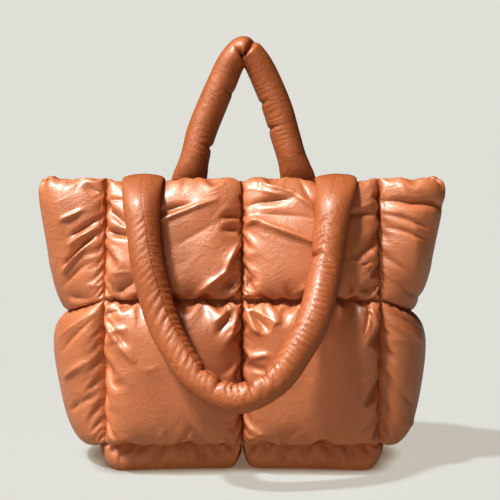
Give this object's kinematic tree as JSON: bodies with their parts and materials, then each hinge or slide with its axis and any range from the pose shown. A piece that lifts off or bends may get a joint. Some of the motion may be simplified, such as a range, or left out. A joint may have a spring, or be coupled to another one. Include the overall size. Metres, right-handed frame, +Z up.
{
  "type": "puffer tote bag",
  "caption": "Quilted puffer tote with padded panels sewn round an open hollow, a flared mouth and padded tube handles, standing on its flat base.",
  "frame": {"origin": "middle of the bag's footprint box, on the floor that the base rests on", "axes": "+Z up from the base to the standing handle, +X to the right as seen from the front, +Y from the front panel to the back panel"},
  "size_m": [0.4548, 0.2792, 0.485],
  "materials": {
    "quilted_shell": "smooth caramel faux leather, satin gloss",
    "padded_handle": "smooth caramel faux leather, satin gloss, lightly wrinkled"
  },
  "bodies": {
    "root": {"front_panel": "quilted_shell", "back_panel": "quilted_shell", "side_panel_left": "quilted_shell", "side_panel_right": "quilted_shell", "base_panel": "quilted_shell", "front_handle": "padded_handle", "back_handle": "padded_handle"}
  },
  "joints": []
}
